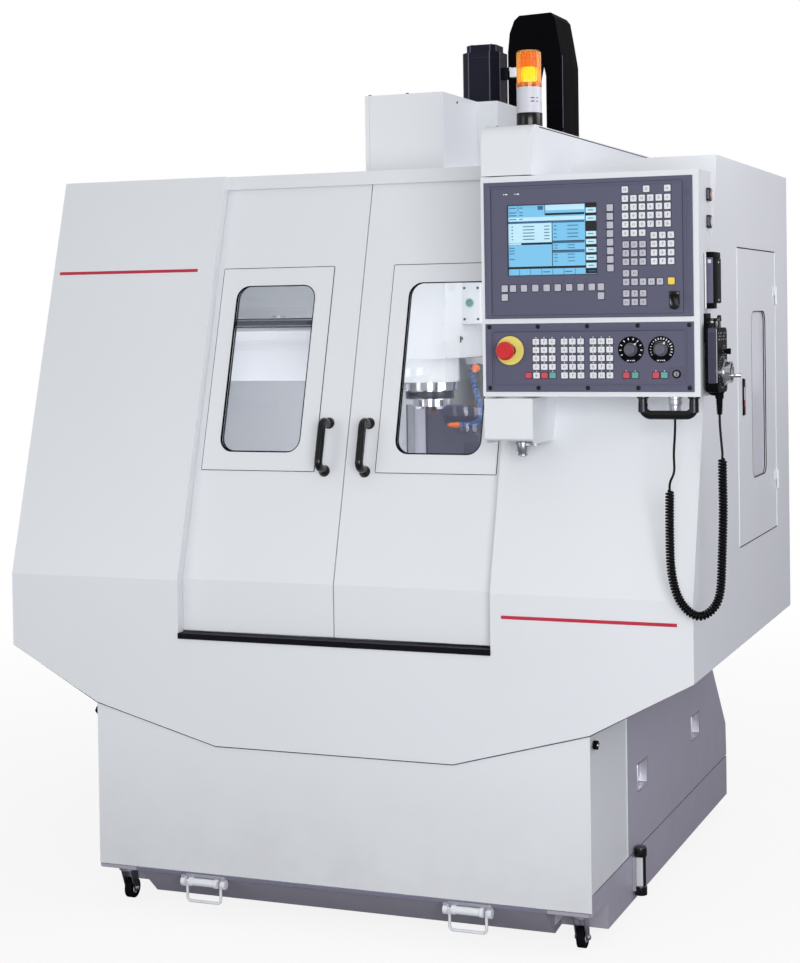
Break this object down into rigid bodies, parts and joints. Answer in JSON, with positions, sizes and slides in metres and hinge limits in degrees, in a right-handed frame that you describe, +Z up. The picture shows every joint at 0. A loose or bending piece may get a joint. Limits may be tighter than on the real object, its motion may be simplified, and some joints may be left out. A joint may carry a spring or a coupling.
{
  "type": "compact cnc milling machine",
  "caption": "Compact enclosed CNC milling machine with sliding doors, swivelling control pendant, moving head and table, tool carousel, signal tower and roll-out coolant tank.",
  "frame": {"origin": "on the floor, below the centre of the whole machine's bounding box", "axes": "+X to the operator's right, +Y from the operator to the back of the machine, +Z up along the spindle axis"},
  "size_m": [1.891, 1.6958, 2.339],
  "materials": {
    "paint_white": "satin powder coat",
    "paint_inside": "satin powder coat",
    "paint_base": "satin powder coat",
    "panel_slate": "matte",
    "black_plastic": "fine grain",
    "black_metal": "satin",
    "black_rubber": "matte",
    "steel": "ground",
    "chrome": "polished",
    "cast_grey": "painted casting",
    "machined_iron": "scraped and ground",
    "clear_pane": "clear",
    "amber_lens": "translucent",
    "red_plastic": "smooth",
    "blue_plastic": "smooth",
    "pale_plastic": "smooth"
  },
  "bodies": {
    "frame": {"machine_bed": "cast_grey", "column": "paint_white", "z_motor": "black_metal", "front_shell": "paint_white", "side_panel_left": "paint_white", "side_panel_right": "paint_white", "roof_panel": "paint_white", "chip_trough": "paint_inside", "base_rear_cover": "paint_base", "door_rail": "black_metal", "splash_panel": "panel_slate", "pendant_arm": "paint_white", "pendant_bracket": "paint_white", "tower_body": "pale_plastic", "tower_lens": "amber_lens", "magazine_cover": "paint_white", "control_cabinet": "paint_white", "cable_chain": "black_plastic"},
    "left_door": {"door_left": "paint_white", "glass_left": "clear_pane", "handle_left": "black_plastic"},
    "right_door": {"door_right": "paint_white", "glass_right": "clear_pane", "handle_right": "black_plastic"},
    "chamber_side_door": {"side_door": "paint_white", "side_glass": "clear_pane"},
    "latch": {"side_latch": "black_plastic"},
    "rear_door": {"cabinet_door": "paint_white"},
    "y_slide": {"saddle": "cast_grey"},
    "x_slide": {"table": "machined_iron"},
    "head": {"head_casting": "paint_white", "head_cover": "paint_white", "coolant_hoses": "blue_plastic"},
    "main_spindle": {"spindle": "chrome"},
    "carousel": {"tool_carousel": "steel"},
    "pendant": {"pendant_case": "paint_white", "display_panel": "panel_slate", "control_panel": "panel_slate", "pendant_handle": "black_plastic", "cord_connector": "chrome", "handwheel_unit": "black_plastic", "cord_lead_left": "black_rubber", "cord_coil": "black_rubber", "cord_lead_right": "black_rubber"},
    "stop": {"stop_button": "red_plastic"},
    "feed_dial": {"feed_knob": "black_plastic"},
    "speed_dial": {"speed_knob": "black_plastic"},
    "key": {"key_switch": "chrome"},
    "upper_rocker": {"rocker_upper": "black_plastic"},
    "lower_rocker": {"rocker_lower": "black_plastic"},
    "pulse_wheel": {"handwheel": "chrome"},
    "pulse_selector": {"axis_selector": "black_plastic"},
    "tank": {"coolant_tank": "paint_base", "base_front_cover": "paint_white"},
    "left_bail": {"bail_left": "steel"},
    "right_bail": {"bail_right": "steel"},
    "left_fork": {"caster_fork_left": "steel"},
    "right_fork": {"caster_fork_right": "steel"},
    "left_wheel": {"caster_wheel_left": "black_rubber"},
    "right_wheel": {"caster_wheel_right": "black_rubber"}
  },
  "joints": [
    {"name": "left_door_slide", "type": "slide", "parent": "frame", "child": "left_door", "axis": [-1, 0, 0], "range_m": [0, 0.32]},
    {"name": "right_door_slide", "type": "slide", "parent": "frame", "child": "right_door", "axis": [1, 0, 0], "range_m": [0, 0.32]},
    {"name": "side_door_hinge", "type": "hinge", "parent": "frame", "child": "chamber_side_door", "pos_m": [0.8385, 0.278, 1.268], "axis": [0, 0, 1], "range_deg": [0, 100]},
    {"name": "side_latch_pull", "type": "hinge", "parent": "chamber_side_door", "child": "latch", "pos_m": [0.8315, -0.141, 1.267], "axis": [0, 0, 1], "range_deg": [0, 30], "stiffness_Nm_per_rad": 0.3},
    {"name": "rear_door_hinge", "type": "hinge", "parent": "frame", "child": "rear_door", "pos_m": [0.2805, 0.817, 1.245], "axis": [0, 0, -1], "range_deg": [0, 110]},
    {"name": "y_travel", "type": "slide", "parent": "frame", "child": "y_slide", "axis": [0, 1, 0], "range_m": [-0.15, 0.15]},
    {"name": "x_travel", "type": "slide", "parent": "y_slide", "child": "x_slide", "axis": [1, 0, 0], "range_m": [-0.28, 0.28]},
    {"name": "z_travel", "type": "slide", "parent": "frame", "child": "head", "axis": [0, 0, 1], "range_m": [-0.28, 0.12], "deforming": ["cable_chain"]},
    {"name": "spindle_turn", "type": "hinge", "parent": "head", "child": "main_spindle", "pos_m": [-0.0555, -0.03, 1.3], "axis": [0, 0, 1], "continuous": true},
    {"name": "carousel_turn", "type": "hinge", "parent": "frame", "child": "carousel", "pos_m": [-0.5105, -0.03, 1.4], "axis": [0, 0, 1], "continuous": true},
    {"name": "pendant_swivel", "type": "hinge", "parent": "frame", "child": "pendant", "pos_m": [0.4255, -0.736, 1.547], "axis": [0, 0, 1], "range_deg": [-90, 0]},
    {"name": "stop_press", "type": "slide", "parent": "pendant", "child": "stop", "axis": [0, 1, 0], "range_m": [0, 0.006], "stiffness_N_per_m": 1500},
    {"name": "feed_dial_turn", "type": "hinge", "parent": "pendant", "child": "feed_dial", "pos_m": [0.7155, -0.81, 1.402], "axis": [0, 1, 0], "range_deg": [-150, 150]},
    {"name": "speed_dial_turn", "type": "hinge", "parent": "pendant", "child": "speed_dial", "pos_m": [0.784, -0.81, 1.402], "axis": [0, 1, 0], "range_deg": [-150, 150]},
    {"name": "key_turn", "type": "hinge", "parent": "pendant", "child": "key", "pos_m": [0.8185, -0.806, 1.3475], "axis": [0, 1, 0], "range_deg": [-45, 45]},
    {"name": "upper_rocker_tilt", "type": "hinge", "parent": "pendant", "child": "upper_rocker", "pos_m": [0.8725, -0.71, 1.745], "axis": [0, 1, 0], "range_deg": [-8, 8]},
    {"name": "lower_rocker_tilt", "type": "hinge", "parent": "pendant", "child": "lower_rocker", "pos_m": [0.8725, -0.71, 1.6845], "axis": [0, 1, 0], "range_deg": [-8, 8]},
    {"name": "pulse_wheel_turn", "type": "hinge", "parent": "pendant", "child": "pulse_wheel", "pos_m": [0.9055, -0.74, 1.349], "axis": [1, 0, 0], "continuous": true},
    {"name": "pulse_selector_turn", "type": "hinge", "parent": "pendant", "child": "pulse_selector", "pos_m": [0.9055, -0.72, 1.395], "axis": [1, 0, 0], "range_deg": [-90, 90]},
    {"name": "tank_roll_out", "type": "slide", "parent": "frame", "child": "tank", "axis": [0, -1, 0], "range_m": [0, 0.9]},
    {"name": "left_bail_swing", "type": "hinge", "parent": "tank", "child": "left_bail", "pos_m": [-0.4025, -0.745, 0.088], "axis": [-1, 0, 0], "range_deg": [0, 100]},
    {"name": "right_bail_swing", "type": "hinge", "parent": "tank", "child": "right_bail", "pos_m": [0.2915, -0.745, 0.088], "axis": [-1, 0, 0], "range_deg": [0, 100]},
    {"name": "left_caster_swivel", "type": "hinge", "parent": "tank", "child": "left_fork", "pos_m": [-0.6555, -0.674, 0.088], "axis": [0, 0, 1], "continuous": true},
    {"name": "right_caster_swivel", "type": "hinge", "parent": "tank", "child": "right_fork", "pos_m": [0.5445, -0.674, 0.088], "axis": [0, 0, 1], "continuous": true},
    {"name": "left_caster_roll", "type": "hinge", "parent": "left_fork", "child": "left_wheel", "pos_m": [-0.6555, -0.656, 0.025], "axis": [1, 0, 0], "continuous": true},
    {"name": "right_caster_roll", "type": "hinge", "parent": "right_fork", "child": "right_wheel", "pos_m": [0.5445, -0.656, 0.025], "axis": [1, 0, 0], "continuous": true}
  ]
}
